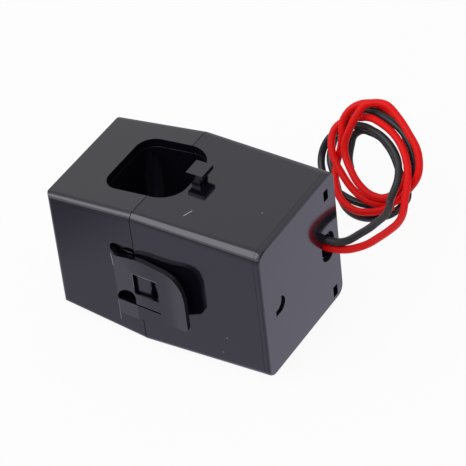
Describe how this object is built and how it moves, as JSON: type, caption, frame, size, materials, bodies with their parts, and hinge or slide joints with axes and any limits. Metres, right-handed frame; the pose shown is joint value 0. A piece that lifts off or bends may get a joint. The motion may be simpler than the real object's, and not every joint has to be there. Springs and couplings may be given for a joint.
{
  "type": "split-core current transformer",
  "caption": "Clamp-on current transformer: a black split case with a square aperture, hinged cap, snap latch, tie hook and two coiled flying leads.",
  "frame": {"origin": "on the aperture's axis, level with the case's lowest edge at the split", "axes": "+Z along the aperture's axis, up; +X along the case towards the leads; +Y towards the hinge"},
  "size_m": [0.0531, 0.0659, 0.0332],
  "materials": {
    "case_plastic": "glossy moulded plastic, near black",
    "pin_steel": "drawn steel wire",
    "core": "dark grey laminated nickel-iron",
    "spring_steel": "tempered strip",
    "bobbin_plastic": "natural nylon",
    "copper": "enamelled copper wire",
    "tape": "polyester tape",
    "tinned": "tinned wire and solder",
    "board": "glass-epoxy board with green mask",
    "epoxy": "moulded epoxy",
    "foam": "closed-cell foam",
    "rubber": "soft black rubber",
    "black_insulation": "extruded insulation, satin",
    "red_insulation": "extruded insulation, satin"
  },
  "bodies": {
    "base": {"main_housing": "case_plastic", "end_cover": "case_plastic", "hinge_pin": "pin_steel", "fixed_core_front": "core", "fixed_core_back": "core", "bobbin": "bobbin_plastic", "secondary_winding": "copper", "winding_tape": "tape", "bobbin_pins": "tinned", "circuit_board": "board", "clamp_diode": "epoxy", "solder_joints": "tinned", "foam_pad": "foam", "strain_relief": "rubber", "lead_black": "black_insulation", "lead_black_coil": "black_insulation", "lead_red": "red_insulation", "lead_red_coil": "red_insulation"},
    "cap": {"cap_housing": "case_plastic", "cap_liner": "case_plastic", "moving_core": "core", "core_spring": "spring_steel"}
  },
  "joints": [
    {"name": "cap_hinge", "type": "hinge", "parent": "base", "child": "cap", "pos_m": [0.0026, 0.0156, 0.0153], "axis": [0, 0, -1], "range_deg": [0, 95]}
  ]
}
